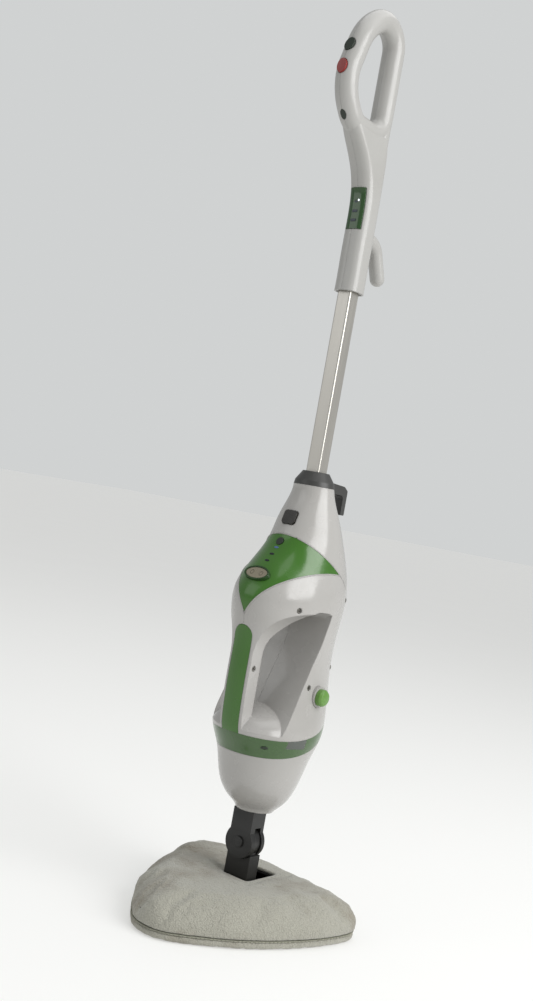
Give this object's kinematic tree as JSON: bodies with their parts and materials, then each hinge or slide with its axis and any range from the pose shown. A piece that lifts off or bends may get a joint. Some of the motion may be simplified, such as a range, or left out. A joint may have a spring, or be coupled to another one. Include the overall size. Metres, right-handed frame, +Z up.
{
  "type": "steam mop",
  "caption": "Upright steam mop: cloth-covered triangular head, two-way neck, steam unit with grip and panel, metal pole and loop handle with cord hooks.",
  "frame": {"origin": "on the floor under the neck, in the flat underside of the mop cloth", "axes": "+Z up along the pole, -Y to the front, where the grip, the panel and the point of the head are, +X to the filler knob's side"},
  "size_m": [0.276, 0.2656, 1.1348],
  "materials": {
    "cloth": "plush",
    "cloth_tape": "woven",
    "hook_tape": "hooked",
    "white_plastic": "gloss",
    "green_plastic": "gloss",
    "green_clear": "gloss",
    "window_clear": "clear",
    "black_plastic": "satin",
    "grey_plastic": "satin",
    "steel": "brushed",
    "tube_metal": "satin",
    "cast_aluminium": "cast",
    "silver_plastic": "silver",
    "red_plastic": "gloss",
    "dark_green_plastic": "gloss",
    "lamp_clear": "clear",
    "board": "lacquer",
    "rubber": "matte",
    "tank_clear": "frosted"
  },
  "bodies": {
    "mop_head": {"cloth_pad": "cloth", "cloth_binding": "cloth_tape", "cloth_cover": "cloth", "hook_strips": "hook_tape", "sole_plate": "black_plastic", "head_cover": "black_plastic", "steam_manifold": "grey_plastic", "hinge_bracket": "black_plastic", "bracket_screws": "steel", "hinge_pin": "steel"},
    "lower_neck": {"neck_yoke": "black_plastic"},
    "steam_unit": {"neck_fork": "black_plastic", "swivel_pin": "black_plastic", "lower_cone": "white_plastic", "green_band": "green_clear", "water_window": "window_clear", "grip_inlay": "green_plastic", "control_panel": "green_plastic", "panel_lamps": "lamp_clear", "rocker_bezel": "silver_plastic", "panel_spring": "steel", "panel_board": "board", "casing_screws": "steel", "casing_right": "white_plastic", "casing_left": "white_plastic", "boiler": "cast_aluminium", "thermostat": "steel", "chassis_plate": "grey_plastic", "steam_hose": "rubber", "pump": "grey_plastic", "feed_hose": "rubber", "water_tank": "tank_clear", "filler_boss": "white_plastic", "cord_gland": "rubber", "pole_socket": "white_plastic"},
    "rocker": {"rocker_switch": "silver_plastic"},
    "front_button": {"panel_button": "grey_plastic"},
    "knob": {"filler_knob": "green_plastic"},
    "pole": {"pole_cone": "white_plastic", "pole_plug": "grey_plastic", "pole_tube": "tube_metal", "release_spring": "steel", "pole_collar": "grey_plastic", "steam_spring": "steel", "power_spring": "steel", "handle_board": "board", "handle_port": "black_plastic", "display_lens": "green_plastic", "display_lamps": "lamp_clear", "display_board": "board", "tube_clamp": "grey_plastic", "hook_axle": "steel", "handle_screws": "steel", "handle_right": "white_plastic", "handle_left": "white_plastic"},
    "release": {"release_button": "grey_plastic"},
    "steam_key": {"steam_button": "dark_green_plastic"},
    "power_key": {"power_button": "red_plastic"},
    "hook": {"cord_hook": "white_plastic"}
  },
  "joints": [
    {"name": "neck_tilt", "type": "hinge", "parent": "mop_head", "child": "lower_neck", "pos_m": [0, 0, 0.03], "axis": [-1, 0, 0], "range_deg": [0, 50]},
    {"name": "neck_swivel", "type": "hinge", "parent": "lower_neck", "child": "steam_unit", "pos_m": [0, -0.0005, 0.0895], "axis": [0, 1, 0], "range_deg": [-50, 50]},
    {"name": "rocker_tilt", "type": "hinge", "parent": "steam_unit", "child": "rocker", "pos_m": [0, -0.0715, 0.42244], "axis": [0, 0.6261, 0.7797], "range_deg": [-5, 5], "stiffness_Nm_per_rad": 0.05},
    {"name": "front_button_press", "type": "slide", "parent": "steam_unit", "child": "front_button", "axis": [0, 0.8832, -0.4691], "range_m": [0, 0.0012], "stiffness_N_per_m": 300},
    {"name": "knob_turn", "type": "hinge", "parent": "steam_unit", "child": "knob", "pos_m": [0.06, 0.017, 0.285], "axis": [1, 0, 0], "range_deg": [0, 90]},
    {"name": "pole_lift", "type": "slide", "parent": "steam_unit", "child": "pole", "axis": [0, 0, 1], "range_m": [0, 0.06]},
    {"name": "release_press", "type": "slide", "parent": "pole", "child": "release", "axis": [0, 0.9455, -0.3256], "range_m": [0, 0.003], "stiffness_N_per_m": 400},
    {"name": "steam_press", "type": "slide", "parent": "pole", "child": "steam_key", "axis": [0, 0.9523, -0.3052], "range_m": [0, 0.0015], "stiffness_N_per_m": 300},
    {"name": "power_press", "type": "slide", "parent": "pole", "child": "power_key", "axis": [0, 0.9967, -0.0817], "range_m": [0, 0.0015], "stiffness_N_per_m": 300},
    {"name": "hook_swing", "type": "hinge", "parent": "pole", "child": "hook", "pos_m": [0, 0.03, 0.86], "axis": [0, 1, 0], "range_deg": [0, 180]}
  ]
}
